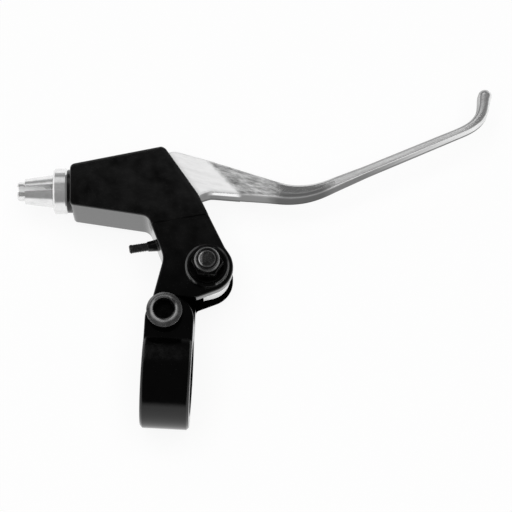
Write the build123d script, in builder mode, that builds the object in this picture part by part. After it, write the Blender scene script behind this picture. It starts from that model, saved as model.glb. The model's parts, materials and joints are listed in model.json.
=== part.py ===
"""Short-pull bicycle brake lever for a 22.2 mm handlebar, in millimetres.

The origin is the centre of the clamp bore, at mid width. +X runs along the handlebar towards the
lever's tip, +Y from the bar towards the blade, and +Z along the pivot towards its nut.
"""

import math
import os

from build123d import *

os.makedirs("parts", exist_ok=True)

# Handlebar clamp
bar_diameter = 22.2
clamp_wall = 3.95
clamp_width = 14.1
clamp_edge_chamfer = 0.7
split_height = 2.0
split_gap = 2.0
ear_thickness = 9.2
ear_margin = 5.1
ear_flat = 0.4
ear_end_gap = 0.7
ear_edge_radius = 0.6
bolt_land = 1.9
bolt_side = 1.45

# Clamp bolt, M6 with a rounded cap head
clamp_bolt_diameter = 6.0
clamp_bolt_clearance = 0.3
clamp_bolt_head_diameter = 10.2
clamp_bolt_rim_height = 3.6
clamp_bolt_head_height = 5.0
clamp_bolt_top_diameter = 6.6
clamp_bolt_socket = 5.0
clamp_bolt_socket_depth = 3.0
clamp_bolt_end_recess = 0.8

# Pivot, M5 through both cheeks
pivot_x = 9.95
pivot_y = 31.3
pivot_diameter = 5.0
pivot_hole_clearance = 0.05
pad_radius = 6.4
pad_height = 1.4
washer_diameter = 10.6
washer_thickness = 1.0
washer_clearance = 0.15
nut_width = 8.0
nut_hex_height = 4.4
nut_height = 6.3
nut_collar_diameter = 7.3
nut_collar_edge = 0.4
nut_crown_angle = 60.0
insert_diameter = 5.9
insert_height = 1.1
insert_depth = 0.35
bolt_overhang = 0.5
bolt_tip_chamfer = 0.35
pivot_head_diameter = 9.5
pivot_rim_height = 0.5
pivot_head_height = 2.75
pivot_top_diameter = 5.6
pivot_socket = 3.0
pivot_socket_depth = 1.7
thread_clearance = 0.03
dome_bulge = 0.25
socket_entry = 0.2
socket_entry_angle = 30.0
overcut = 1.0

# Cable line, from the pivot
cable_pull = 25.9
cable_tilt = 3.7
cable_slot = 2.2
cable_hole_diameter = 3.2

# Body casting
neck_depth = 18.4
arm_step = 0.6
channel_width = 11.0
channel_reach = 20.8
channel_clearance = 0.7
web_wall = 3.4
boss_radius = 7.5
crotch_drop = 9.45
crotch_radius = 1.2
flank_angle = 53.0
flank_gap = 0.3
flank_radius = 3.0
leg_height = 13.0
leg_radius = 14.0
waist_left = 12.8
waist_up = 2.3
waist_radius = 6.0
elbow_back = 17.2
elbow_drop = 10.5
elbow_radius = 3.0
arm_reach = 40.0
arm_end_rise = 5.55
arm_end_drop = 6.75
arm_end_top_radius = 1.6
arm_end_low_radius = 1.3
peak_back = 12.4
peak_rise = 10.9
peak_radius = 2.0
opening_back = 2.6
opening_drop = 3.7
opening_radius = 10.0
opening_bevel = 1.6
opening_bevel_depth = 1.1
crease_drop = 2.4
crease_fall = 7.0
body_edge_radius = 0.7

# Barrel adjuster, M10 with a tapered nose, and its lock ring
spigot_diameter = 12.9
spigot_height = 1.1
adjuster_thread = 10.0
adjuster_thread_length = 11.0
adjuster_clearance = 0.05
adjuster_bore_depth = 12.0
ring_diameter = 13.6
ring_length = 4.1
ring_gap = 0.05
ring_edge_chamfer = 0.5
ring_slot = 2.0
nose_gap = 0.3
nose_base_diameter = 9.6
nose_end_diameter = 7.5
nose_length = 8.2
groove_diameter = 5.0
groove_length = 0.4
collar_diameter = 5.6
collar_length = 1.9
collar_edge = 0.4
adjuster_slot = 1.8
housing_bore_diameter = 4.2
housing_bore_depth = 8.0
inner_bore_diameter = 2.2

# Reach screw, M3 at its pitch diameter, with a rounded point
reach_diameter = 2.7
reach_along = 12.2
reach_slope = 12.0
reach_length = 12.0
reach_gap = 0.1
reach_socket = 1.5
reach_socket_depth = 1.6
reach_end_chamfer = 0.4
reach_boss_diameter = 3.9
reach_boss_height = 2.8
reach_boss_taper = 6.0

# Lever: tang, heel, cable hook and root
lever_depth = 9.6
lever_edge_radius = 1.2
lever_boss_radius = 6.7
heel_angle = 256.0
heel_out = 1.1
heel_radius = 1.2
tang_half_width = 4.3
hook_back = 6.2
hook_low = 5.6
hook_high = 8.0
hook_low_radius = 3.0
hook_high_radius = 3.5
crown_ahead = 0.2
crown_rise = 11.1
crown_radius = 5.0
nipple_back = 10.4
nipple_diameter = 7.3
flat_top_along = 2.2
flat_bottom_along = 11.4
kink_along = 2.8
kink_radius = 4.0
armpit_drop = 5.5
armpit_radius = 3.0

# Lever: blade path, from the pivot
bend_ahead = 27.0
bend_up = 24.9
bend_radius = 24.0
bend_angle = -7.95
root_length = 29.8
blade_angle = 26.4
blade_length = 59.35
curl_radius = 11.0
tip_angle = 90.0
tip_length = 8.0
root_inset = 0.04

# Lever: thickness, depth and edge radius of the blade along its path
root_thickness = 9.9
bend_thickness = 4.9
bend_depth = 9.2
bend_edge = 1.9
shank_thickness = 3.1
shank_depth = 8.2
shank_edge = 1.4
waist_place = 0.3
waist_thickness = 2.3
waist_depth = 7.0
waist_edge = 1.05
curl_thickness = 2.0
curl_depth = 6.4
curl_edge = 0.9
tip_thickness = 4.1
tip_depth = 6.6
tip_edge = 1.9
section_spacing = 5.0
cap_angles = (0, 25, 50, 70, 82)

# Pivot bushes
bush_diameter = 7.0
bush_press = 0.01
bush_running = 0.03
bush_length = 4.4
flange_diameter = 11.0
flange_gap = 0.05


def heading(angle):
    """Unit vector in the lever's plane, at an angle from +X."""
    return Vector(math.cos(math.radians(angle)), math.sin(math.radians(angle)))


def tangent_point(point, centre, radius, side):
    """Where the tangent from a point touches a circle, on the given side (1 or -1)."""
    reach = point - centre
    turn = math.degrees(math.acos(radius / reach.length))
    return centre + reach.normalized().rotate(Axis.Z, side * turn) * radius


def inset(before, corner, after, wall):
    """Corner of the inner outline, one wall to the right of two edges."""
    first = (corner - before).normalized()
    second = (after - corner).normalized()
    first_side = Vector(first.Y, -first.X)
    second_side = Vector(second.Y, -second.X)
    return corner + (first_side + second_side) * (wall / (1 + first_side.dot(second_side)))


# Reference points and heights that several pieces share
bar_radius = bar_diameter / 2
clamp_outer = bar_radius + clamp_wall
clamp_half = clamp_width / 2
neck_half = neck_depth / 2
arm_depth = neck_depth + 2 * arm_step
channel_half = channel_width / 2
lever_half = lever_depth / 2
ear_corner = clamp_half - ear_flat / 2
bolt_hole_radius = clamp_bolt_diameter / 2 + clamp_bolt_clearance
bolt_y = bar_radius + bolt_land + bolt_hole_radius
ear_end = bolt_y + ear_margin
split_top = split_height + split_gap / 2
split_bottom = split_height - split_gap / 2
bolt_seat = split_top + ear_thickness
pad_top = neck_half + pad_height
pivot = Vector(pivot_x, pivot_y)
cable_way = heading(cable_tilt)
cable_up = heading(cable_tilt + 90)
cable_foot = pivot + cable_up * cable_pull


def on_cable(along, across):
    """Point in the lever's plane, measured along and across the cable line."""
    return cable_foot + cable_way * along + cable_up * across


nipple = on_cable(-nipple_back, 0)
end_centre = on_cable(-arm_reach, 0)
end_plane = Plane(origin=end_centre, x_dir=(0, 0, 1), z_dir=-cable_way)

# Corners of the body's outline
end_top = on_cable(-arm_reach, arm_end_rise)
end_low = on_cable(-arm_reach, -arm_end_drop)
peak = on_cable(-peak_back, peak_rise)
opening = on_cable(-opening_back, -opening_drop)
elbow = on_cable(-elbow_back, -elbow_drop)
waist = pivot + Vector(-waist_left, waist_up)
leg_left = Vector(-clamp_half, leg_height)
crotch = Vector(clamp_half, pivot_y - crotch_drop)
flank = pivot + heading(flank_angle) * (boss_radius + flank_gap)
boss_side = tangent_point(flank, pivot, boss_radius, -1)
boss_low = tangent_point(crotch, pivot, boss_radius, 1)
boss_outer = pivot + (boss_side + boss_low - pivot * 2).normalized() * boss_radius
crease_left = elbow + (waist - elbow).normalized() * crease_drop
crease_right = opening + (flank - opening).normalized() * crease_fall

# Corners of the channel that the lever swings in
web_waist = inset(leg_left, waist, elbow, web_wall)
web_elbow = inset(waist, elbow, end_low, web_wall)
floor_way = (end_low - elbow).normalized()
floor_run = (-channel_reach - (web_elbow - cable_foot).dot(cable_way)) / floor_way.dot(cable_way)
floor_end = web_elbow + floor_way * floor_run
heel_reach = lever_boss_radius + heel_out
channel_round = heel_reach + channel_clearance
beyond = arm_reach + cable_pull

# Blade path and the points of the lever's flat root
bend = pivot + Vector(bend_ahead, bend_up)
root_way = heading(bend_angle)
root_up = heading(bend_angle + 90)
root = bend - root_way * root_length
curl = bend + heading(blade_angle) * blade_length
tip = curl + heading(tip_angle) * tip_length
bend_tangent = bend_radius * math.tan(math.radians((blade_angle - bend_angle) / 2))
root_run_length = root_length - bend_tangent


def root_edge(along, side):
    """Point on the root's upper (1) or lower (-1) edge, which tapers evenly to the bend."""
    taper = (root_thickness - bend_thickness) * along / root_run_length
    return root + root_way * along + root_up * (side * (root_thickness - taper) / 2)


flat_top = root_edge(flat_top_along, 1)
flat_bottom = root_edge(flat_bottom_along, -1)
kink = root_edge(kink_along, -1)

# Corners of the tang and the cable hook
tang_way = (nipple - pivot).normalized()
tang_side = tang_way.rotate(Axis.Z, 90)
armpit = nipple - tang_way * armpit_drop
armpit_left = armpit + tang_side * tang_half_width
armpit_right = armpit - tang_side * tang_half_width
hook_bottom = on_cable(-nipple_back - hook_back, -hook_low)
hook_top = on_cable(-nipple_back - hook_back, hook_high)
crown = on_cable(-nipple_back + crown_ahead, crown_rise)
tang_left = tangent_point(armpit_left, pivot, lever_boss_radius, 1)
tang_right = tangent_point(armpit_right, pivot, lever_boss_radius, -1)
heel = pivot + heading(heel_angle) * heel_reach
heel_side = tangent_point(heel, pivot, lever_boss_radius, 1)
tang_round = pivot + (tang_right + heel_side - pivot * 2).normalized() * lever_boss_radius

# Reach screw, from the rounded point that meets the tang
tang_edge = (armpit_left - tang_left).normalized()
reach_way = heading(180 + reach_slope)
reach_radius = reach_diameter / 2
reach_touch = tang_left + tang_edge * reach_along
reach_point = reach_touch + tang_edge.rotate(Axis.Z, 90) * (reach_radius + reach_gap)
reach_plane = Plane(origin=reach_point, x_dir=(0, 0, 1), z_dir=reach_way)
web_way = (elbow - waist).normalized()
web_side = web_way.rotate(Axis.Z, 90)
reach_wall = (waist - reach_point).dot(web_side) / reach_way.dot(web_side)


def plate(corners, radii, arc, depth):
    """Flat plate, centred on Z, from a filleted outline that an arc may close."""
    with BuildPart() as slab:
        with BuildSketch(Plane.XY.offset(-depth / 2)):
            with BuildLine():
                if arc is None:
                    FilletPolyline(*corners, radius=radii, close=True)
                else:
                    FilletPolyline(*corners, radius=radii)
                    ThreePointArc(corners[-1], arc, corners[0])
            make_face()
        extrude(amount=depth)
    return slab.part


def socket_screw(plane, diameter, length, head, socket, socket_depth):
    """Screw with a domed head that points down from a plane, with a hexagon socket."""
    head_diameter, rim_height, head_height, top_diameter = head
    radius = diameter / 2
    rim = (head_diameter / 2, rim_height)
    top = (top_diameter / 2, head_height)
    entry = socket / math.sqrt(3) + socket_entry
    entry_depth = entry * math.tan(math.radians(socket_entry_angle))
    with BuildPart() as screw:
        with BuildSketch(Plane(origin=plane.origin, x_dir=plane.x_dir, z_dir=-plane.y_dir)):
            with BuildLine():
                Polyline(
                    top, (entry, head_height), (0, head_height - entry_depth), (0, -length),
                    (radius - bolt_tip_chamfer, -length), (radius, bolt_tip_chamfer - length),
                    (radius, 0), (head_diameter / 2, 0), rim,
                )
                SagittaArc(rim, top, dome_bulge)
            make_face()
        revolve(axis=Axis(plane.origin, plane.z_dir))
        with BuildSketch(plane.offset(head_height - socket_depth)):
            RegularPolygon(socket / 2, 6, major_radius=False)
        extrude(amount=socket_depth, mode=Mode.SUBTRACT)
    return screw.part


# Body: neck and arm plates, and the bevels beside the lever's opening
neck_plate = plate(
    [boss_low, crotch, Vector(clamp_half, 0), Vector(-clamp_half, 0), leg_left, waist, elbow,
     end_low, end_top, peak, opening, flank, boss_side],
    [crotch_radius, 0, 0, leg_radius, waist_radius, elbow_radius,
     arm_end_low_radius, arm_end_top_radius, peak_radius, opening_radius, flank_radius],
    boss_outer,
    neck_depth,
)
arm_plate = plate(
    [crease_left, elbow, end_low, end_top, peak, opening, crease_right],
    [0, elbow_radius, arm_end_low_radius, arm_end_top_radius, peak_radius, opening_radius, 0],
    None,
    arm_depth,
)
bevel_way = (opening - peak).normalized()
bevel_plane = Plane(origin=peak, x_dir=bevel_way.rotate(Axis.Z, 90), z_dir=bevel_way)
bevel_low = arm_depth / 2 - opening_bevel_depth
bevel_high = arm_depth / 2 + overcut
with BuildPart() as bevels:
    with BuildSketch(bevel_plane.offset(-peak_rise)):
        with BuildLine():
            Polyline(
                (-opening_bevel, arm_depth / 2), (-opening_bevel, bevel_high),
                (overcut, bevel_high), (overcut, bevel_low), (0, bevel_low),
                close=True,
            )
        make_face()
    extrude(amount=2 * peak_rise + (opening - peak).length)
    mirror(about=Plane.XY)

# Clamp ear and band
with BuildPart() as ear:
    with BuildSketch(Plane.XY.offset(split_top)):
        with BuildLine():
            FilletPolyline(
                (-clamp_half, 0), (clamp_half, 0), (clamp_half, ear_end), (-clamp_half, ear_end),
                radius=[0, 0, ear_corner, ear_corner],
                close=True,
            )
        make_face()
    extrude(amount=ear_thickness)
    fillet(ear.faces().sort_by(Axis.Z)[-1].edges(), ear_edge_radius)

with BuildPart() as clamp:
    with BuildSketch(Plane.YZ.offset(-clamp_half)):
        Circle(clamp_outer)
    extrude(amount=clamp_width)
    chamfer(clamp.edges().filter_by(GeomType.CIRCLE), clamp_edge_chamfer)
    add(ear.part)

with BuildPart() as arm:
    add(arm_plate)
    crease = arm.faces().sort_by_distance((crease_left + crease_right) / 2)[0]
    fillet(arm.faces().filter_by(Axis.Z).edges() - crease.edges(), body_edge_radius)

with BuildPart() as body:
    add(neck_plate)
    fillet(body.faces().filter_by(Axis.Z).edges(), body_edge_radius)
    add(arm.part)
    add(bevels.part, mode=Mode.SUBTRACT)
    # Notch that lets the ear close on the neck
    with BuildSketch(Plane.XY.offset(split_bottom)):
        with Locations((0, (ear_end + ear_end_gap) / 2)):
            Rectangle(clamp_width * 2, ear_end + ear_end_gap)
    extrude(amount=arm_depth, mode=Mode.SUBTRACT)
    add(clamp.part)
    # Bar bore and split
    with BuildSketch(Plane.YZ.offset(-clamp_width)):
        Circle(bar_radius)
    extrude(amount=clamp_width * 2, mode=Mode.SUBTRACT)
    with Locations((0, ear_end / 2, split_height)):
        Box(clamp_width * 2, ear_end, split_gap, mode=Mode.SUBTRACT)
    # Clearance hole and tapped hole for the bolt
    with BuildSketch(Plane.XY.offset(split_height)):
        with Locations((-bolt_side, bolt_y)):
            Circle(bolt_hole_radius)
    extrude(amount=clamp_outer, mode=Mode.SUBTRACT)
    with BuildSketch(Plane.XY.offset(split_height)):
        with Locations((-bolt_side, bolt_y)):
            Circle(clamp_bolt_diameter / 2 + thread_clearance)
    extrude(amount=-neck_depth, mode=Mode.SUBTRACT)
    # Pivot pads, channel and pivot hole
    with BuildSketch(Plane.XY.offset(-pad_top)):
        with Locations(pivot):
            Circle(pad_radius)
    extrude(amount=2 * pad_top)
    with BuildSketch(Plane.XY.offset(-channel_half)):
        with Locations(pivot):
            Circle(channel_round)
        with BuildLine():
            Polyline(
                pivot, pivot - Vector(channel_round, 0), web_waist, web_elbow, floor_end,
                floor_end + cable_up * beyond, pivot + Vector(beyond, beyond),
                pivot + Vector(beyond, 0),
                close=True,
            )
        make_face()
    extrude(amount=channel_width, mode=Mode.SUBTRACT)
    with BuildSketch(Plane.XY.offset(-pad_top)):
        with Locations(pivot):
            Circle(pivot_diameter / 2 + pivot_hole_clearance)
    extrude(amount=2 * pad_top, mode=Mode.SUBTRACT)
    # Adjuster spigot, thread hole, cable hole and cable slot
    with BuildSketch(end_plane):
        Circle(spigot_diameter / 2)
    extrude(amount=spigot_height)
    with BuildSketch(end_plane.offset(spigot_height)):
        Circle(adjuster_thread / 2 + adjuster_clearance)
    extrude(amount=-adjuster_bore_depth - spigot_height, mode=Mode.SUBTRACT)
    with BuildSketch(end_plane):
        Circle(cable_hole_diameter / 2)
    extrude(amount=channel_reach - arm_reach - overcut, mode=Mode.SUBTRACT)
    with BuildSketch(Plane.XY.offset(-cable_slot / 2)):
        with BuildLine():
            Polyline(
                on_cable(-arm_reach - spigot_height - overcut, 0),
                on_cable(overcut - channel_reach, 0),
                on_cable(overcut - channel_reach, cable_pull),
                on_cable(-arm_reach - spigot_height - overcut, cable_pull),
                close=True,
            )
        make_face()
    extrude(amount=cable_slot, mode=Mode.SUBTRACT)
    # Reach screw boss and hole
    with BuildSketch(reach_plane.offset(reach_wall - web_wall / 2)):
        Circle(reach_boss_diameter / 2)
    extrude(amount=web_wall / 2 + reach_boss_height, taper=reach_boss_taper)
    with BuildSketch(reach_plane.offset(-reach_diameter)):
        Circle(reach_radius + thread_clearance)
    extrude(amount=reach_diameter + reach_wall + reach_boss_height + overcut, mode=Mode.SUBTRACT)
body.part.label = "lever_body"
export_step(body.part, "parts/lever_body.step")


def blade_section(plane, thickness, depth, edge):
    """Rounded rectangle, with the thickness across the blade and the depth along Z."""
    with BuildSketch(plane) as section:
        RectangleRounded(depth, thickness, edge)
    return section.sketch


with BuildLine() as blade_path:
    FilletPolyline(root, bend, curl, tip, radius=[bend_radius, curl_radius])
blade_wire = blade_path.wire()
root_run, bend_arc, blade_run, curl_arc, tip_run = blade_wire.edges().sort_by(Axis.X)
spans = (
    root_run.length, bend_arc.length, blade_run.length * waist_place,
    blade_run.length * (1 - waist_place), curl_arc.length, tip_run.length,
)
# Thickness, depth and edge radius where the spans meet
stations = (
    (root_thickness - 2 * root_inset, lever_depth - 2 * root_inset, lever_edge_radius),
    (bend_thickness, bend_depth, bend_edge),
    (shank_thickness, shank_depth, shank_edge),
    (waist_thickness, waist_depth, waist_edge),
    (curl_thickness, curl_depth, curl_edge),
    (tip_thickness, tip_depth, tip_edge),
    (tip_thickness, tip_depth, tip_edge),
)


def across(place):
    """Plane square to the blade's path, at a length along it, with its X axis along the pivot."""
    return Plane(
        origin=blade_wire.position_at(place, position_mode=PositionMode.LENGTH),
        x_dir=(0, 0, 1),
        z_dir=blade_wire.tangent_at(place, position_mode=PositionMode.LENGTH),
    )


def sizes_at(place):
    """Thickness, depth and edge radius of the blade, at a length along its path."""
    start = 0
    for span, first, last in zip(spans, stations, stations[1:]):
        if place < start + span:
            share = (place - start) / span
            return [begin + (finish - begin) * share for begin, finish in zip(first, last)]
        start += span
    return stations[-1]


section_count = round(blade_wire.length / section_spacing)
section_places = [blade_wire.length * step / section_count for step in range(section_count + 1)]
blade_sections = [blade_section(across(place), *sizes_at(place)) for place in section_places]
cap_sections = [
    blade_section(
        across(blade_wire.length).offset(tip_thickness / 2 * math.sin(math.radians(angle))),
        tip_thickness * math.cos(math.radians(angle)),
        tip_depth - tip_thickness * (1 - math.cos(math.radians(angle))),
        tip_edge * math.cos(math.radians(angle)),
    )
    for angle in cap_angles
]

tang_plate = plate(
    [heel_side, heel, tang_left, armpit_left, hook_bottom, hook_top, crown, flat_top, flat_bottom,
     kink, armpit_right, tang_right],
    [heel_radius, heel_radius, armpit_radius, hook_low_radius, hook_high_radius, crown_radius, 0, 0,
     kink_radius, armpit_radius],
    tang_round,
    lever_depth,
)
with BuildPart() as lever:
    add(tang_plate)
    flat_end = lever.faces().sort_by_distance((flat_top + flat_bottom) / 2)[0]
    fillet(lever.faces().filter_by(Axis.Z).edges() - flat_end.edges(), lever_edge_radius)
    loft(blade_sections)
    loft(cap_sections)
    with BuildSketch(Plane.XY.offset(-lever_half)):
        with Locations(pivot):
            Circle(bush_diameter / 2)
        with Locations(nipple):
            Circle(nipple_diameter / 2)
    extrude(amount=lever_depth, mode=Mode.SUBTRACT)
    # Slot that lets the cable into the hook
    with BuildSketch(Plane.XY.offset(-cable_slot / 2)):
        with BuildLine():
            Polyline(
                on_cable(-nipple_back, -cable_slot / 2), on_cable(-nipple_back, beyond),
                on_cable(-nipple_back - beyond, beyond),
                on_cable(-nipple_back - beyond, -cable_slot / 2),
                close=True,
            )
        make_face()
    extrude(amount=cable_slot, mode=Mode.SUBTRACT)
lever.part.label = "lever_blade"
export_step(lever.part, "parts/lever_blade.step")

# Pivot bushes, pressed into the lever from both sides
flange_thickness = channel_half - lever_half - flange_gap
for side, name in ((1, "pivot_bush_front"), (-1, "pivot_bush_rear")):
    face = Plane(origin=(pivot_x, pivot_y, side * lever_half), z_dir=(0, 0, side))
    with BuildPart() as bush:
        with BuildSketch(face):
            Circle(flange_diameter / 2)
        extrude(amount=flange_thickness)
        with BuildSketch(face):
            Circle(bush_diameter / 2 - bush_press)
        extrude(amount=-bush_length)
        with BuildSketch(face.offset(flange_thickness)):
            Circle(pivot_diameter / 2 + bush_running)
        extrude(amount=-bush_length - flange_thickness, mode=Mode.SUBTRACT)
    bush.part.label = name
    export_step(bush.part, f"parts/{name}.step")

# Pivot bolt, washer, self-locking nut and its nylon insert
nut_seat = pad_top + washer_thickness
bolt_end = nut_seat + nut_height + bolt_overhang
rear_plane = Plane(origin=(pivot_x, pivot_y, -pad_top), z_dir=(0, 0, -1))
pivot_head = (pivot_head_diameter, pivot_rim_height, pivot_head_height, pivot_top_diameter)
pivot_bolt = socket_screw(
    rear_plane, pivot_diameter, pad_top + bolt_end, pivot_head, pivot_socket, pivot_socket_depth,
)
pivot_bolt.label = "pivot_bolt"
export_step(pivot_bolt, "parts/pivot_bolt.step")

with BuildPart() as washer:
    with BuildSketch(Plane.XY.offset(pad_top)):
        with Locations(pivot):
            Circle(washer_diameter / 2)
            Circle(pivot_diameter / 2 + washer_clearance, mode=Mode.SUBTRACT)
    extrude(amount=washer_thickness)
washer.part.label = "pivot_washer"
export_step(washer.part, "parts/pivot_washer.step")

with BuildPart() as nut:
    with BuildSketch(Plane.XY.offset(nut_seat)):
        with Locations(pivot):
            RegularPolygon(nut_width / 2, 6, major_radius=False)
    extrude(amount=nut_hex_height)
    with BuildSketch(Plane.XY.offset(nut_seat + nut_hex_height)):
        with Locations(pivot):
            Circle(nut_width / 2)
    extrude(amount=-nut_hex_height, taper=-nut_crown_angle, mode=Mode.INTERSECT)
    with BuildSketch(Plane.XY.offset(nut_seat)):
        with Locations(pivot):
            Circle(nut_collar_diameter / 2)
    extrude(amount=nut_height)
    chamfer(nut.faces().sort_by(Axis.Z)[-1].edges(), nut_collar_edge)
    with BuildSketch(Plane.XY.offset(nut_seat)):
        with Locations(pivot):
            Circle(pivot_diameter / 2 + thread_clearance)
    extrude(amount=nut_height, mode=Mode.SUBTRACT)
    with BuildSketch(Plane.XY.offset(nut_seat + nut_height - insert_depth - insert_height)):
        with Locations(pivot):
            Circle(insert_diameter / 2)
    extrude(amount=insert_depth + insert_height, mode=Mode.SUBTRACT)
nut.part.label = "pivot_nut"
export_step(nut.part, "parts/pivot_nut.step")

with BuildPart() as insert:
    with BuildSketch(Plane.XY.offset(nut_seat + nut_height - insert_depth - insert_height)):
        with Locations(pivot):
            Circle(insert_diameter / 2 - bush_press)
            Circle(pivot_diameter / 2 + thread_clearance, mode=Mode.SUBTRACT)
    extrude(amount=insert_height)
insert.part.label = "pivot_nut_insert"
export_step(insert.part, "parts/pivot_nut_insert.step")

# Clamp bolt
clamp_bolt_plane = Plane(origin=(-bolt_side, bolt_y, bolt_seat))
clamp_bolt_length = bolt_seat + neck_half - clamp_bolt_end_recess
clamp_bolt_head = (
    clamp_bolt_head_diameter, clamp_bolt_rim_height, clamp_bolt_head_height, clamp_bolt_top_diameter,
)
clamp_bolt = socket_screw(
    clamp_bolt_plane, clamp_bolt_diameter, clamp_bolt_length, clamp_bolt_head, clamp_bolt_socket,
    clamp_bolt_socket_depth,
)
clamp_bolt.label = "clamp_bolt"
export_step(clamp_bolt, "parts/clamp_bolt.step")

# Barrel adjuster: half profile along the cable line, outwards from the arm's end
ring_start = spigot_height + ring_gap
ring_end = ring_start + ring_length
nose_start = ring_end + nose_gap
nose_end = nose_start + nose_length
collar_start = nose_end + groove_length
collar_end = collar_start + collar_length
profile_plane = Plane(origin=end_centre, x_dir=-cable_way, z_dir=(0, 0, -1))
cable_axis = Axis(end_centre, -cable_way)
with BuildPart() as adjuster:
    with BuildSketch(profile_plane):
        with BuildLine():
            Polyline(
                (-adjuster_thread_length, 0), (-adjuster_thread_length, adjuster_thread / 2),
                (nose_start, adjuster_thread / 2), (nose_start, nose_base_diameter / 2),
                (nose_end, nose_end_diameter / 2), (nose_end, groove_diameter / 2),
                (collar_start, groove_diameter / 2), (collar_start, collar_diameter / 2),
                (collar_end - collar_edge, collar_diameter / 2),
                (collar_end, collar_diameter / 2 - collar_edge), (collar_end, 0),
                close=True,
            )
        make_face()
    revolve(axis=cable_axis)
    with BuildSketch(end_plane.offset(collar_end)):
        Circle(housing_bore_diameter / 2)
    extrude(amount=-housing_bore_depth, mode=Mode.SUBTRACT)
    with BuildSketch(end_plane.offset(collar_end)):
        Circle(inner_bore_diameter / 2)
    extrude(amount=-collar_end - adjuster_thread_length, mode=Mode.SUBTRACT)
    with BuildSketch(end_plane.offset(collar_end)):
        with Locations((adjuster_thread / 2, 0)):
            Rectangle(adjuster_thread, adjuster_slot)
    extrude(amount=-collar_end - adjuster_thread_length, mode=Mode.SUBTRACT)
adjuster.part.label = "barrel_adjuster"
export_step(adjuster.part, "parts/barrel_adjuster.step")

with BuildPart() as ring:
    with BuildSketch(end_plane.offset(ring_start)):
        Circle(ring_diameter / 2)
    extrude(amount=ring_length)
    chamfer(ring.edges().filter_by(GeomType.CIRCLE), ring_edge_chamfer)
    with BuildSketch(end_plane.offset(ring_start)):
        Circle(adjuster_thread / 2 + adjuster_clearance)
        with Locations((0, ring_diameter / 2)):
            Rectangle(ring_slot, ring_diameter)
    extrude(amount=ring_length, mode=Mode.SUBTRACT)
ring.part.label = "adjuster_lock_ring"
export_step(ring.part, "parts/adjuster_lock_ring.step")

# Reach screw
with BuildPart() as reach:
    with BuildSketch(reach_plane):
        Circle(reach_radius)
    extrude(amount=reach_length)
    chamfer(reach.faces().sort_by(Axis(reach_point, reach_way))[-1].edges(), reach_end_chamfer)
    with Locations(reach_point):
        Sphere(reach_radius)
    with BuildSketch(reach_plane.offset(reach_length)):
        RegularPolygon(reach_socket / 2, 6, major_radius=False)
    extrude(amount=-reach_socket_depth, mode=Mode.SUBTRACT)
reach.part.label = "reach_screw"
export_step(reach.part, "parts/reach_screw.step")
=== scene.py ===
"""Looks of a bicycle brake lever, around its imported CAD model. Lengths are in metres."""
import functools
import json
import math
from types import SimpleNamespace

import bmesh
import bpy
from mathutils import Matrix, Vector


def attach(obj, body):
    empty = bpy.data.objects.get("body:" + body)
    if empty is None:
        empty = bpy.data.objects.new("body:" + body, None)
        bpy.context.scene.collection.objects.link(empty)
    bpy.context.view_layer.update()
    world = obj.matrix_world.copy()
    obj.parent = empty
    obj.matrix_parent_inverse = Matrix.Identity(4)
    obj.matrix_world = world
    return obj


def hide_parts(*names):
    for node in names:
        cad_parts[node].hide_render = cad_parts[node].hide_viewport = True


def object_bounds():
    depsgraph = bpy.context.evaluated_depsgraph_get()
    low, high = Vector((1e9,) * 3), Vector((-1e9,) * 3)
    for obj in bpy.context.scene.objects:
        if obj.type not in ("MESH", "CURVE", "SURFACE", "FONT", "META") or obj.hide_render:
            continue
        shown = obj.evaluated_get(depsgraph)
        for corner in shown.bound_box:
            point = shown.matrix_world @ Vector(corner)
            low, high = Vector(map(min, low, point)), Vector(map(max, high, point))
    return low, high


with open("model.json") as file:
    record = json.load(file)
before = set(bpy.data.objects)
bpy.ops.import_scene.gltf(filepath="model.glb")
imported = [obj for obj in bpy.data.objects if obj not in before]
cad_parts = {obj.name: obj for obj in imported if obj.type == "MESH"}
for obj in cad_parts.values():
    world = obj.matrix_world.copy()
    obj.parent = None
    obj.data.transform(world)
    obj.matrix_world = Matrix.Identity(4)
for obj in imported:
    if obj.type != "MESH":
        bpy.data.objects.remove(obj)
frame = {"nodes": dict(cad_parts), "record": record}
cad_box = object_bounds()
nodes = frame["nodes"]
record = frame["record"]
joints = {joint["name"]: joint for joint in record["behaviour"]["joints"]}


def about(place, softness):
    """Span of a soft edge: where it starts and where it ends."""
    return place - softness, place + softness


# Camera, as the photograph was taken. The bar's centre lies at the part's origin
IMAGE_SIZE = 512
PHOTO_SCALE = 0.00029
CAMERA_DISTANCE = 0.6
CAMERA_ELEVATION = math.radians(75)
CAMERA_ROLL = math.radians(3)
BAR_PIXEL = Vector((167.2, 377))
SENSOR = 36.0

# Axes of the moving pieces, from the frame, and of the clamp bolt
PIVOT = Vector(joints["lever_pivot"]["pos_m"])
CABLE_WAY = -Vector(joints["adjuster_travel"]["axis"])
CABLE_UP = Vector((-CABLE_WAY.y, CABLE_WAY.x, 0))
CABLE_TILT = math.atan2(CABLE_WAY.y, CABLE_WAY.x)
CABLE_HEIGHT = CABLE_UP.dot(Vector(joints["lock_ring_turn"]["pos_m"]))
REACH_WAY = -Vector(joints["reach_travel"]["axis"])
REACH_UP = Vector((-REACH_WAY.y, REACH_WAY.x, 0))
REACH_HEIGHT = 0.0396
BOLT = Vector((-0.00145, 0.0163, 0))
BOLT_WAY = Vector((0, 0, 1))

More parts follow.
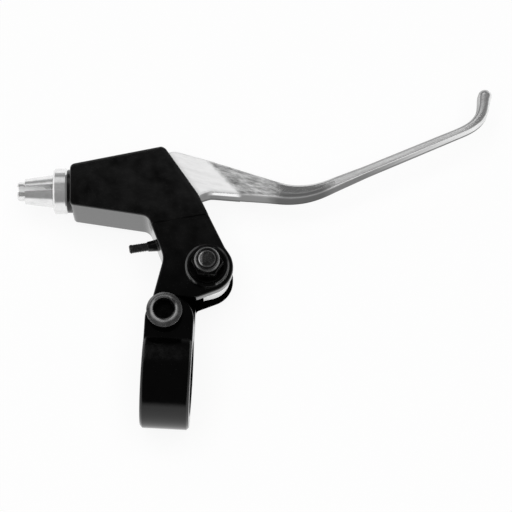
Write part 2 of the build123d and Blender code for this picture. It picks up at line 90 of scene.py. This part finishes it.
# Threads, each on a plain shank. Start and end lie along the axis, from its foot
THREADS = (
    dict(
        node="reach_screw", body="reach", foot=REACH_UP * REACH_HEIGHT, way=REACH_WAY,
        radius=0.00135, start=-0.0050, end=0.0064, pitch=0.0005,
    ),
    dict(
        node="barrel_adjuster", body="adjuster", foot=CABLE_UP * CABLE_HEIGHT, way=CABLE_WAY,
        radius=0.0050, start=-0.0335, end=-0.0171, pitch=0.001,
    ),
    dict(
        node="clamp_bolt", body="bracket", foot=BOLT, way=BOLT_WAY,
        radius=0.0030, start=-0.0080, end=0.0120, pitch=0.001,
    ),
)
STEPS_PER_PITCH = 6
DEPTH_PER_PITCH = 0.5
SHANK_BAND = 0.0001
WELD = 1e-6
SHARP = math.radians(35)

# Shading that all finishes share: the range of most noises, rounded edges, and a number mix's sockets
NOISE_SPAN = (0.3, 0.7)
BEVEL_SAMPLES = 6
MIX_SOCKETS = (0, 2, 3)


class Graph:
    """Node tree of a material or a world, with short calls for the nodes that are used often."""

    def __init__(self, tree):
        self.tree = tree

    def add(self, kind, **settings):
        """New node with the given settings."""
        node = self.tree.nodes.new("ShaderNode" + kind)
        for name, value in settings.items():
            setattr(node, name, value)
        return node

    def feed(self, socket, value):
        """Links an output to an input, or sets the input to a constant."""
        if isinstance(value, bpy.types.NodeSocket):
            self.tree.links.new(value, socket)
        else:
            socket.default_value = value

    def feed_all(self, node, **values):
        """Feeds inputs by their names."""
        for name, value in values.items():
            self.feed(node.inputs[name.replace("_", " ")], value)

    def math(self, operation, *values):
        """Sum, product or another operation on numbers."""
        node = self.add("Math", operation=operation)
        for socket, value in zip(node.inputs, values):
            self.feed(socket, value)
        return node.outputs[0]

    def all_of(self, *shares):
        """Product of shares, which is 1 only where each of them is 1."""
        return functools.reduce(lambda first, last: self.math("MULTIPLY", first, last), shares)

    def any_of(self, *shares):
        """Largest of shares."""
        return functools.reduce(lambda first, last: self.math("MAXIMUM", first, last), shares)

    def rest(self, share):
        """What a share leaves of 1."""
        return self.math("SUBTRACT", 1.0, share)

    def ramp(self, value, span, levels):
        """Maps a span of values to a pair of levels, which hold before and past it."""
        node = self.add("MapRange", clamp=True)
        for socket, number in zip(node.inputs, (value, *span, *levels)):
            self.feed(socket, number)
        return node.outputs["Result"]

    def rise(self, value, span):
        """0 before a span of values, 1 past it."""
        return self.ramp(value, span, (0.0, 1.0))

    def fall(self, value, span):
        """1 before a span of values, 0 past it."""
        return self.ramp(value, span, (1.0, 0.0))

    def spread(self, noise, levels):
        """Levels for the low and the high spots of a noise."""
        return self.ramp(noise, NOISE_SPAN, levels)

    def mix(self, share, first, last):
        """First value where the share is 0, last value where it is 1."""
        node = self.add("Mix", data_type="FLOAT")
        for place, value in zip(MIX_SOCKETS, (share, first, last)):
            self.feed(node.inputs[place], value)
        return node.outputs[0]

    def layers(self, value, *coats):
        """Value under coats. Each coat is a share and the value that it shows there."""
        for share, coat in coats:
            value = self.mix(share, value, coat)
        return value

    def place(self):
        """Object coordinates, in the part's frame."""
        return self.add("TexCoord").outputs["Object"]

    def normal(self):
        """Direction that the surface faces, in the part's frame."""
        return self.add("TexCoord").outputs["Normal"]

    def split(self, vector):
        """X, Y and Z of a vector."""
        node = self.add("SeparateXYZ")
        self.feed(node.inputs[0], vector)
        return node.outputs

    def dot(self, vector, way):
        """Length of a vector along a direction."""
        node = self.add("VectorMath", operation="DOT_PRODUCT")
        self.feed(node.inputs[0], vector)
        self.feed(node.inputs[1], way)
        return node.outputs["Value"]

    def noise(self, vector, scale, detail, roughness=0.5):
        """Noise from 0 to 1."""
        node = self.add("TexNoise")
        self.feed_all(node, Vector=vector, Scale=scale, Detail=detail, Roughness=roughness)
        return node.outputs["Fac"]

    def streaks(self, vector, angle, scales, detail=5.0, roughness=0.6):
        """Noise that is drawn out along a direction in the lever's plane."""
        node = self.add("Mapping", vector_type="TEXTURE")
        self.feed_all(node, Vector=vector, Rotation=(0, 0, angle), Scale=[1 / scale for scale in scales])
        return self.noise(node.outputs[0], 1.0, detail, roughness)

    def gap(self, value, place):
        """How far a value is from a place."""
        return self.math("ABSOLUTE", self.math("SUBTRACT", value, place))

    def hypot(self, first, second):
        """Length from two sides at right angles."""
        squares = [self.math("MULTIPLY", side, side) for side in (first, second)]
        return self.math("SQRT", self.math("ADD", *squares))

    def reach(self, vector, centre):
        """How far a point is from a centre, in the lever's plane."""
        x, y = self.split(vector)[:2]
        return self.hypot(self.gap(x, centre.x), self.gap(y, centre.y))

    def ring(self, vector, centre, radius, half_width):
        """1 on a circle in the lever's plane, 0 away from it."""
        off = self.gap(self.reach(vector, centre), radius)
        return self.fall(off, (half_width / 2, half_width))

    def bump(self, shader, height, strength, distance, edge=0.0):
        """Bump on the shader's normal, with edges that look rounded where an edge radius is given."""
        node = self.add("Bump")
        self.feed_all(node, Height=height, Strength=strength, Distance=distance)
        if edge:
            bevel = self.add("Bevel", samples=BEVEL_SAMPLES)
            self.feed_all(bevel, Radius=edge)
            self.feed(node.inputs["Normal"], bevel.outputs[0])
        self.feed(shader.inputs["Normal"], node.outputs[0])


def new_material(name):
    """Empty node material: the material, its graph and its shader."""
    material = bpy.data.materials.new(name)
    material.use_nodes = True
    return material, Graph(material.node_tree), material.node_tree.nodes["Principled BSDF"]


# Paint. A noise has its scale, detail and roughness. Other pairs are spans of places, or levels for a span
MOTTLE = (240, 5)
HAZE = (480, 6, 0.65)
HAZE_SPAN = (0.3, 0.75)
PEEL = (800, 2)
PEEL_BUMP = (0.1, 0.0001)
PAINT_ROUND = 0.0006
PAINT_GREY = (0.002, 0.011)
PAINT_ROUGHNESS = (0.08, 0.17)
PAINT_GLOSS = 0.42
# Painted shade on the rear cheek's wall: these spans find it, and there the paint mirrors nothing
CHEEK_LEFT = (0.0045, 0.0065)
CHEEK_BOTTOM = (0.0195, 0.021)
CHEEK_TOP = (0.040, 0.043)
CHEEK_STEP = (0.0245, 0.0250)
CHEEK_HEIGHTS = (0.0055, -0.0053)
CHEEK_SHADE_GLOSS = 0.0
PAD_RADIUS = 0.0064
PAD_LOW = 0.0095
PAD_EDGE = 0.0006
# Painted highlight on the pad's edge: a lighter, metallic glint at its lower sides, broken up by the mottling
PAD_GLINT_SIDE = (0.0025, 0.0035)
PAD_GLINT_SPAN = (PIVOT.y - 0.001, PIVOT.y + 0.002)
PAD_GLINT_LEVELS = (1.0, 0.2)
PAD_GLINT_MOTTLE_SPAN = (0.35, 0.55)
PAD_GLINT_MOTTLE = (0.2, 1.0)
PAD_GLINT_GREY = 0.35
# Painted shade: the paint grows darker towards the bar, down to the low level at the span's start
PAINT_SHADE_SPAN = (0.022, 0.062)
PAINT_SHADE_LEVELS = (0.05, 1.0)


def body_paint():
    """Gloss black paint over a casting: mottling, orange peel, painted shade that darkens it towards the bar,
    a painted highlight on the pad's edge, and a rear cheek whose wall is dulled to no gloss as painted shade.
    """
    material, graph, shader = new_material("body_paint")
    place = graph.place()
    x, y, z = graph.split(place)
    mottle = graph.noise(place, *MOTTLE)
    haze = graph.noise(place, *HAZE)
    # Painted shade: the rear cheek's wall loses its gloss
    cheek = graph.all_of(
        graph.rise(x, CHEEK_LEFT),
        graph.fall(y, CHEEK_TOP),
        graph.rise(y, CHEEK_BOTTOM),
        graph.math("LESS_THAN", z, graph.ramp(y, CHEEK_STEP, CHEEK_HEIGHTS)),
    )
    # Painted highlight: the pad's edge glints at its lower sides
    pad_glint = graph.all_of(
        graph.ring(place, PIVOT, PAD_RADIUS, PAD_EDGE),
        graph.math("GREATER_THAN", z, PAD_LOW),
        graph.rise(graph.gap(x, PIVOT.x), PAD_GLINT_SIDE),
        graph.ramp(y, PAD_GLINT_SPAN, PAD_GLINT_LEVELS),
        graph.ramp(mottle, PAD_GLINT_MOTTLE_SPAN, PAD_GLINT_MOTTLE),
    )
    # Painted shade darkens the paint towards the bar
    paint = graph.all_of(graph.ramp(y, PAINT_SHADE_SPAN, PAINT_SHADE_LEVELS), graph.spread(mottle, PAINT_GREY))
    graph.feed_all(
        shader,
        Base_Color=graph.mix(pad_glint, paint, PAD_GLINT_GREY),
        Roughness=graph.ramp(haze, HAZE_SPAN, PAINT_ROUGHNESS),
        Metallic=pad_glint,
        Specular_IOR_Level=graph.mix(cheek, PAINT_GLOSS, CHEEK_SHADE_GLOSS),
    )
    graph.bump(shader, graph.noise(place, *PEEL), *PEEL_BUMP, PAINT_ROUND)
    return material


# Blade: spans where its zones meet, along the lever, on its walls and by the way that the surface faces
SAND_WAY = Vector((0.695, 0.719, 0))
SAND_SPAN = about(0.0523, 0.0006)
GRAIN_END = 0.0297
GRAIN_SPAN = about(GRAIN_END, 0.001)
BLADE_SPAN = (0.0425, 0.0465)
# Painted highlight on the blade's walls, from here towards the curl and above the low rim
WALL_HIGHLIGHT_START = 0.055
CURL_START = 0.0830
CURL_SPAN = (CURL_START, CURL_START + 0.005)
HEEL_SPAN = about(0.044, 0.001)
SHOULDER_START = about(0.0095, 0.001)
SHOULDER_END = about(0.0184, 0.0006)
SHOULDER_LOW = about(0.0012, 0.0003)
# Painted shade on the blade's walls: darker along their low rim and towards the bend
RIM_SPAN = about(-0.0022, 0.0004)
WALL_HIGHLIGHT_LOW = (-0.0012, -0.0006)
WALL_SHADE_SPAN = (GRAIN_END - 0.004, GRAIN_END)
UPRIGHT_SPAN = (0.35, 0.6)
EDGE_START = (0.56, 0.62)
EDGE_END = (0.72, 0.8)
# Painted shade on the bend's flats that face towards the bar, picked by the way they face
UNDER_SPAN = (-0.3, -0.1)
# Painted shade on the blade's faces that turn towards the inside of the curl
INNER_WAY = Vector((-0.45, 0.89, 0))
INNER_SPAN = (0.2, 0.55)

# Blade: noises and relief. A drawn-out noise has its direction and its three scales first
RAG = (700, 4, 0.6)
RAG_WIDTH = 0.0016
RAG_ALONG = 2.0
SPECKLE = (1100, 5, 0.7)
DRAGGED = (-math.radians(14), (180, 900, 900), 6.0, 0.7)
BRUSHED = (math.radians(26), (90, 1600, 1600))
GRAIN_CONTRAST = (0.36, 0.64)
SAND_CONTRAST = (0.25, 0.6)
BRUSH_HEIGHT = 0.15
BLADE_BUMP = (0.5, 0.0001)

# Blade: greys, roughness, share of metal and tint of each zone
BEND_GREY = (0.6, 0.74)
BLADE_GREY = (0.75, 0.95)
GRAIN_GREY = (0.25, 0.98)
SAND_GREY = (0.84, 0.98)
HEEL_GREY = (0.9, 0.98)
# Painted shade: the walls' greys are darker than the metal elsewhere
SHADED_BEND_WALL_GREY = (0.42, 0.21)
RIM_SHADE = (0.6, 1.0)
SHADED_WALL_GREY = 0.36
HIGHLIT_WALL_GREY = 0.95
WALL_STREAKS = (0.8, 1.1)
UNDER_BEND_SHADE_GREY = 0.2
INNER_SHADE_GREY = 0.45
BEND_ROUGHNESS = (0.12, 0.2)
BLADE_ROUGHNESS = (0.26, 0.36)
GRAIN_ROUGHNESS = 0.4
SAND_ROUGHNESS = 0.6
EDGE_ROUGHNESS = 0.16
SHOULDER_ROUGHNESS = 0.12
WALL_ROUGHNESS = 0.42
BEND_METAL = 0.85
BLADE_METAL = (0.5, 0.8)
UNDER_BEND_METAL = 0.4
GRAIN_METAL = 0.5
SAND_METAL = 0.1
# Painted shade and highlight in the walls' reflections: a darker tint on the walls, and a lighter one towards
# the tip
SHADED_WALL_TINT = 0.35
HIGHLIT_WALL_TINT = 0.9


def blade_zones(graph, place):
    """Shares of the lever's zones, and the place along it with a ragged edge."""
    x, y, z = graph.split(place)
    normal = graph.normal()
    facing = graph.math("ABSOLUTE", graph.split(normal)["Z"])
    ragged = graph.math("MULTIPLY_ADD", graph.noise(place, *RAG), RAG_WIDTH, -RAG_WIDTH / 2)
    ragged_x = graph.math("ADD", x, graph.math("MULTIPLY", ragged, RAG_ALONG))
    sand_side = graph.fall(graph.math("ADD", graph.dot(place, SAND_WAY), ragged), SAND_SPAN)
    blade = graph.rise(ragged_x, BLADE_SPAN)
    upright = graph.fall(facing, UPRIGHT_SPAN)
    shoulder = graph.all_of(
        sand_side,
        graph.rise(z, SHOULDER_LOW),
        graph.rise(x, SHOULDER_START),
        graph.fall(x, SHOULDER_END),
        upright,
    )
    heel = graph.any_of(graph.fall(y, HEEL_SPAN), shoulder)
    wall = graph.all_of(upright, graph.rest(heel))
    flat = graph.rest(wall)
    return SimpleNamespace(
        ragged_x=ragged_x,
        blade=blade,
        shoulder=shoulder,
        heel=heel,
        wall=wall,
        sanded=graph.all_of(sand_side, flat),
        grainy=graph.all_of(graph.fall(ragged_x, GRAIN_SPAN), flat),
        shaded_under_bend=graph.all_of(
            graph.fall(graph.split(normal)["Y"], UNDER_SPAN),
            flat,
            graph.rise(ragged_x, GRAIN_SPAN),
            graph.rest(blade),
        ),
        highlit_wall=graph.all_of(graph.rise(x, (WALL_HIGHLIGHT_START, CURL_START)), graph.rise(z, WALL_HIGHLIGHT_LOW)),
        inner=graph.all_of(graph.rise(graph.dot(normal, INNER_WAY), INNER_SPAN), blade),
        edge=graph.all_of(graph.rise(facing, EDGE_START), graph.fall(facing, EDGE_END), blade),
    )


def polished_alloy():
    """Aluminium lever: sanded flat beside the body, grainy root, polished bend, brushed blade. Painted shade
    darkens its walls, the underside of the bend and the inside of the curl, and a painted highlight lightens
    the walls towards the tip.
    """
    material, graph, shader = new_material("polished_alloy")
    place = graph.place()
    x, _, z = graph.split(place)
    zone = blade_zones(graph, place)
    speckle = graph.noise(place, *SPECKLE)
    dragged = graph.streaks(place, *DRAGGED)
    brushed = graph.streaks(place, *BRUSHED)
    # Painted shade on the walls near the bend and along their low rim
    shaded_bend_wall = graph.all_of(
        graph.ramp(zone.ragged_x, WALL_SHADE_SPAN, SHADED_BEND_WALL_GREY),
        graph.ramp(z, RIM_SPAN, RIM_SHADE),
    )
    # Painted shade on the blade's walls, with a painted highlight on their upper part towards the tip
    blade_wall_shade_and_highlight = graph.all_of(
        graph.mix(zone.highlit_wall, SHADED_WALL_GREY, HIGHLIT_WALL_GREY),
        graph.spread(brushed, WALL_STREAKS),
    )
    base = graph.layers(
        graph.spread(speckle, BEND_GREY),
        (zone.blade, graph.spread(brushed, BLADE_GREY)),
        (zone.grainy, graph.ramp(dragged, GRAIN_CONTRAST, GRAIN_GREY)),
        (zone.sanded, graph.ramp(dragged, SAND_CONTRAST, SAND_GREY)),
        (zone.wall, graph.mix(zone.blade, shaded_bend_wall, blade_wall_shade_and_highlight)),
        # Painted shade on the underside of the bend
        (zone.shaded_under_bend, UNDER_BEND_SHADE_GREY),
        # Painted shade on the inside of the curl
        (zone.inner, INNER_SHADE_GREY),
        (zone.heel, graph.spread(dragged, HEEL_GREY)),
    )
    roughness = graph.layers(
        graph.spread(speckle, BEND_ROUGHNESS),
        (zone.blade, graph.spread(brushed, BLADE_ROUGHNESS)),
        (zone.grainy, GRAIN_ROUGHNESS),
        (zone.sanded, SAND_ROUGHNESS),
        (zone.edge, EDGE_ROUGHNESS),
        (zone.shoulder, SHOULDER_ROUGHNESS),
        (zone.wall, WALL_ROUGHNESS),
    )
    metallic = graph.layers(
        BEND_METAL,
        (zone.blade, graph.ramp(x, CURL_SPAN, BLADE_METAL)),
        (zone.edge, 1.0),
        (zone.shaded_under_bend, UNDER_BEND_METAL),
        (zone.grainy, GRAIN_METAL),
        (zone.sanded, SAND_METAL),
    )
    graph.feed_all(
        shader,
        Base_Color=base,
        Roughness=roughness,
        Metallic=graph.any_of(zone.heel, zone.wall, metallic),
        Specular_Tint=graph.mix(zone.wall, 1.0, graph.mix(zone.highlit_wall, SHADED_WALL_TINT, HIGHLIT_WALL_TINT)),
    )
    height = graph.mix(zone.grainy, graph.math("MULTIPLY", brushed, BRUSH_HEIGHT), dragged)
    graph.bump(shader, height, *BLADE_BUMP)
    return material


# Adjuster and lock ring: lathe lines, and the slot and bore that were cut later
LATHE_SCALES = (4000, 40, 40)
LATHE_DETAIL = 3.0
LATHE_BUMP = (0.3, 0.000003)
CLOUD = (600, 3)
SLOT_SIDE = (0.00095, 0.001)
SLOT_FACING = (0.8, 0.9)
BORE_RADIUS = 0.0024
TURNED_GREY = (0.82, 0.94)
TURNED_ROUGHNESS = (0.13, 0.22)
TURNED_METAL = 0.72
FRESH_GREY = 0.95
FRESH_ROUGHNESS = 0.6
FRESH_METAL = 0.1


def bright_alloy():
    """Turned bright aluminium: lathe lines round the cable's axis and a freshly cut slot."""
    material, graph, shader = new_material("bright_alloy")
    place = graph.place()
    lines = graph.streaks(place, CABLE_TILT, LATHE_SCALES, LATHE_DETAIL)
    cloud = graph.noise(place, *CLOUD)
    across = graph.gap(graph.dot(place, CABLE_UP), CABLE_HEIGHT)
    upright = graph.math("ABSOLUTE", graph.dot(graph.normal(), CABLE_UP))
    slot = graph.all_of(graph.fall(across, SLOT_SIDE), graph.rise(upright, SLOT_FACING))
    bore = graph.math("LESS_THAN", graph.hypot(across, graph.split(place)["Z"]), BORE_RADIUS)
    fresh = graph.any_of(slot, bore)
    graph.feed_all(
        shader,
        Base_Color=graph.mix(fresh, graph.spread(cloud, TURNED_GREY), FRESH_GREY),
        Roughness=graph.mix(fresh, graph.spread(lines, TURNED_ROUGHNESS), FRESH_ROUGHNESS),
        Metallic=graph.mix(fresh, TURNED_METAL, FRESH_METAL),
    )
    graph.bump(shader, lines, *LATHE_BUMP)
    return material


# Bolts, nut and washer: crowns by height, on the bolt's side and on the nut's side, which carry a painted
# highlight, and a painted glint on the stud
STAIN = (650, 5, 0.6)
STAIN_BUMP = (0.3, 0.00001)
EDGE_ROUND = 0.0003
NUT_SIDE = 0.0235
BOLT_CROWN = 0.0150
NUT_CROWN = 0.0160
CROWN_RISE = (0.0, 0.0004)
REAR_CROWN = (-0.0112, -0.0108)
SOCKET_RADIUS = 0.003
SOCKET_SPAN = (SOCKET_RADIUS, SOCKET_RADIUS + 0.0002)
COLLAR_SIDE = (0.0012, 0.003)
COLLAR_SHADE = (0.3, 1.0)
STUD_RADIUS = 0.00255
# Painted glint on the stud's left edge
STUD_GLINT_RADIUS = 0.0019
STUD_GLINT_WIDTH = 0.0008
STUD_GLINT_SPAN = (PIVOT.x - 0.0016, PIVOT.x - 0.001)
PLATED_GREY = (0.012, 0.04)
PLATED_ROUGHNESS = (0.2, 0.32)
# Painted highlight on the crowns, dimmer near the pivot's line at the collar's top and bottom
CROWN_HIGHLIGHT_GREY = (0.2, 0.36)
CROWN_METAL = 0.9
STUD_GREY = (0.05, 0.16)
STUD_GLINT_GREY = 0.55


def dark_steel():
    """Dark plated steel: crowns lightened as painted highlights and a painted glint on the stud, black sides
    and sockets.
    """
    material, graph, shader = new_material("dark_steel")
    place = graph.place()
    x, y, z = graph.split(place)
    stain = graph.noise(place, *STAIN)
    crown_low = graph.mix(graph.math("GREATER_THAN", y, NUT_SIDE), BOLT_CROWN, NUT_CROWN)
    front = graph.rise(graph.math("SUBTRACT", z, crown_low), CROWN_RISE)
    crown = graph.all_of(
        graph.any_of(front, graph.fall(z, REAR_CROWN)),
        graph.rise(graph.reach(place, BOLT), SOCKET_SPAN),
    )
    # Painted highlight on the crowns of the heads and the nut, outside the sockets
    crown_highlight_grey = graph.all_of(
        graph.spread(stain, CROWN_HIGHLIGHT_GREY),
        graph.ramp(graph.gap(x, PIVOT.x), COLLAR_SIDE, COLLAR_SHADE),
    )
    # Painted glint: a lighter crescent at the stud's left edge
    stud_glint = graph.all_of(graph.ring(place, PIVOT, STUD_GLINT_RADIUS, STUD_GLINT_WIDTH), graph.fall(x, STUD_GLINT_SPAN))
    stud_grey = graph.mix(stud_glint, graph.spread(stain, STUD_GREY), STUD_GLINT_GREY)
    stud = graph.math("LESS_THAN", graph.reach(place, PIVOT), STUD_RADIUS)
    graph.feed_all(
        shader,
        Base_Color=graph.mix(crown, graph.spread(stain, PLATED_GREY), graph.mix(stud, crown_highlight_grey, stud_grey)),
        Roughness=graph.spread(stain, PLATED_ROUGHNESS),
        Metallic=graph.mix(crown, 1.0, CROWN_METAL),
    )
    graph.bump(shader, stain, *STAIN_BUMP, EDGE_ROUND)
    return material


# Reach screw
OXIDE = (900, 5)
OXIDE_GREY = (0.008, 0.025)
OXIDE_ROUGHNESS = (0.3, 0.42)


def black_steel():
    """Black oxide on the threaded reach screw."""
    material, graph, shader = new_material("black_steel")
    stain = graph.noise(graph.place(), *OXIDE)
    graph.feed_all(
        shader,
        Base_Color=graph.spread(stain, OXIDE_GREY),
        Roughness=graph.spread(stain, OXIDE_ROUGHNESS),
    )
    graph.bump(shader, stain, *STAIN_BUMP)
    return material


# Bushes and the nut's insert
NYLON_CLOUD = (900, 3)
NYLON_GREY = (0.004, 0.012)
NYLON_ROUGHNESS = (0.4, 0.55)
NYLON_GLOSS = 0.25


def nylon():
    """Moulded black nylon."""
    material, graph, shader = new_material("nylon")
    cloud = graph.noise(graph.place(), *NYLON_CLOUD)
    graph.feed_all(
        shader,
        Base_Color=graph.spread(cloud, NYLON_GREY),
        Roughness=graph.spread(cloud, NYLON_ROUGHNESS),
        Specular_IOR_Level=NYLON_GLOSS,
    )
    return material


FINISHES = {
    "body_paint": body_paint(),
    "polished_alloy": polished_alloy(),
    "bright_alloy": bright_alloy(),
    "dark_steel": dark_steel(),
    "black_steel": black_steel(),
    "nylon": nylon(),
}
SLOTS = {part["node"]: part["material_slot"] for part in record["subparts"]}
for node, slot in SLOTS.items():
    nodes[node].data.materials.clear()
    nodes[node].data.materials.append(FINISHES[slot])


def cut_thread(node, body, foot, way, radius, start, end, pitch):
    """Threaded copy of a screw, which stands for its CAD node. Its groove winds into the plain shank."""
    work = bmesh.new()
    work.from_mesh(nodes[node].data)
    bmesh.ops.remove_doubles(work, verts=work.verts, dist=WELD)
    step = pitch / STEPS_PER_PITCH
    for count in range(int((end - start) / step) + 1):
        bmesh.ops.bisect_plane(
            work, geom=work.verts[:] + work.edges[:] + work.faces[:], dist=WELD,
            plane_co=foot + way * (start + count * step), plane_no=way,
        )
    first = way.orthogonal().normalized()
    second = way.cross(first)
    for vertex in work.verts:
        offset = vertex.co - foot
        along = offset.dot(way)
        arm = offset - way * along
        if start < along < end and arm.length > radius - SHANK_BAND:
            turn = math.atan2(arm.dot(second), arm.dot(first)) / math.tau
            groove = 1 - abs(2 * ((along / pitch - turn) % 1) - 1)
            run_out = min(1, (along - start) / pitch, (end - along) / pitch)
            vertex.co -= arm.normalized() * (groove * run_out * pitch * DEPTH_PER_PITCH)
    mesh = bpy.data.meshes.new(node + "_threaded")
    work.to_mesh(mesh)
    work.free()
    if "custom_normal" in mesh.attributes:
        mesh.attributes.remove(mesh.attributes["custom_normal"])
    mesh.shade_smooth()
    mesh.set_sharp_from_angle(angle=SHARP)
    mesh.materials.append(FINISHES[SLOTS[node]])
    screw = bpy.data.objects.new(node + "_threaded", mesh)
    bpy.context.scene.collection.objects.link(screw)
    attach(screw, body)
    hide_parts(node)


for thread in THREADS:
    cut_thread(**thread)


def add_camera():
    """Camera at the photograph's angle, aimed so that the bar's centre falls on its pixel."""
    forward = Vector((0, math.cos(CAMERA_ELEVATION), -math.sin(CAMERA_ELEVATION)))
    level_up = Vector((0, math.sin(CAMERA_ELEVATION), math.cos(CAMERA_ELEVATION)))
    level_right = Vector((1, 0, 0))
    right = level_right * math.cos(CAMERA_ROLL) + level_up * math.sin(CAMERA_ROLL)
    up = level_up * math.cos(CAMERA_ROLL) - level_right * math.sin(CAMERA_ROLL)
    offset = (BAR_PIXEL - Vector((IMAGE_SIZE / 2, IMAGE_SIZE / 2))) * PHOTO_SCALE
    data = bpy.data.cameras.new("camera")
    data.sensor_width = SENSOR
    data.lens = SENSOR * CAMERA_DISTANCE / PHOTO_SCALE / IMAGE_SIZE
    camera = bpy.data.objects.new("camera", data)
    place = -forward * CAMERA_DISTANCE - right * offset.x + up * offset.y
    turn = Matrix((right, up, -forward)).transposed().to_4x4()
    camera.matrix_world = Matrix.Translation(place) @ turn
    bpy.context.scene.collection.objects.link(camera)
    bpy.context.scene.camera = camera


# Floor
FLOOR_GAP = 0.0002
FLOOR_RADIUS = 4.0
FLOOR_SIDES = 64
FLOOR_GLOW = 0.9
FLOOR_CLOUD = (3, 2)
FLOOR_GREY = (0.92, 0.94)
FLOOR_ROUGHNESS = 0.9


def add_floor():
    """Plain white floor, just under the part. It glows for what is seen or mirrored, and only for that."""
    material, graph, shader = new_material("floor")
    cloud = graph.noise(graph.place(), *FLOOR_CLOUD)
    graph.feed_all(
        shader,
        Base_Color=graph.spread(cloud, FLOOR_GREY),
        Roughness=FLOOR_ROUGHNESS,
        Specular_IOR_Level=0.0,
    )
    path = graph.add("LightPath").outputs
    seen = graph.any_of(path["Is Camera Ray"], path["Is Glossy Ray"], path["Is Transmission Ray"])
    mix = graph.add("MixShader")
    graph.feed(mix.inputs[0], graph.math("MULTIPLY", seen, FLOOR_GLOW))
    graph.feed(mix.inputs[1], shader.outputs[0])
    graph.feed(mix.inputs[2], graph.add("Emission").outputs[0])
    graph.feed(material.node_tree.nodes["Material Output"].inputs["Surface"], mix.outputs[0])
    bpy.ops.mesh.primitive_circle_add(
        vertices=FLOOR_SIDES, radius=FLOOR_RADIUS, fill_type="NGON",
        location=(0, 0, cad_box[0][2] - FLOOR_GAP),
    )
    floor = bpy.context.object
    floor.name = "floor"
    floor.data.materials.append(material)


# Studio: spans of a direction's X, Y and Z, and the light there
OVERHEAD_LIGHT = 0.06
SURROUND_TOP = (0.14, 0.34)
SURROUND_LIGHT = (0.95, OVERHEAD_LIGHT)
SURROUND_BACK = (-0.1, 0.5)
SURROUND_DIMMING = (1.0, 0.28)
PANEL_BOTTOM = (0.42, 0.55)
PANEL_TOP = (0.85, 0.93)
PANEL_FRONT = (0.3, 0.5)
PANEL_RIGHT = (-0.09, -0.06)
PANEL_LIGHT = (0.75, OVERHEAD_LIGHT)
TIP_SIDE = (0.0, 0.8)
TIP_DIMMING = (1.0, 0.65)
WHITE = (1, 1, 1, 1)


def add_world():
    """Pale studio: light low surround, a broad light panel behind the blade, darker overhead."""
    world = bpy.data.worlds.new("studio")
    bpy.context.scene.world = world
    world.use_nodes = True
    graph = Graph(world.node_tree)
    x, y, z = graph.split(graph.add("TexCoord").outputs["Generated"])
    surround = graph.all_of(
        graph.ramp(z, SURROUND_TOP, SURROUND_LIGHT),
        graph.ramp(y, SURROUND_BACK, SURROUND_DIMMING),
    )
    panel = graph.all_of(
        graph.rise(z, PANEL_BOTTOM),
        graph.fall(z, PANEL_TOP),
        graph.rise(y, PANEL_FRONT),
        graph.ramp(x, PANEL_RIGHT, PANEL_LIGHT),
    )
    light = graph.all_of(
        graph.any_of(surround, OVERHEAD_LIGHT, panel),
        graph.ramp(x, TIP_SIDE, TIP_DIMMING),
    )
    seen = graph.add("LightPath").outputs["Is Camera Ray"]
    graph.feed_all(
        world.node_tree.nodes["Background"],
        Color=WHITE,
        Strength=graph.mix(seen, light, 1.0),
    )


# Overhead lamp
FILL_HEIGHT = 1.2
FILL_SIZE = 1.0
FILL_POWER = 14.2


def add_fill():
    """Overhead lamp for matt surfaces, which mirrors nowhere."""
    data = bpy.data.lights.new("fill", "AREA")
    data.size = FILL_SIZE
    data.energy = FILL_POWER
    lamp = bpy.data.objects.new("fill", data)
    lamp.location = (0, 0, FILL_HEIGHT)
    lamp.visible_camera = False
    lamp.visible_glossy = False
    bpy.context.scene.collection.objects.link(lamp)


add_camera()
add_floor()
add_world()
add_fill()

bpy.context.scene.view_settings.view_transform = "Standard"
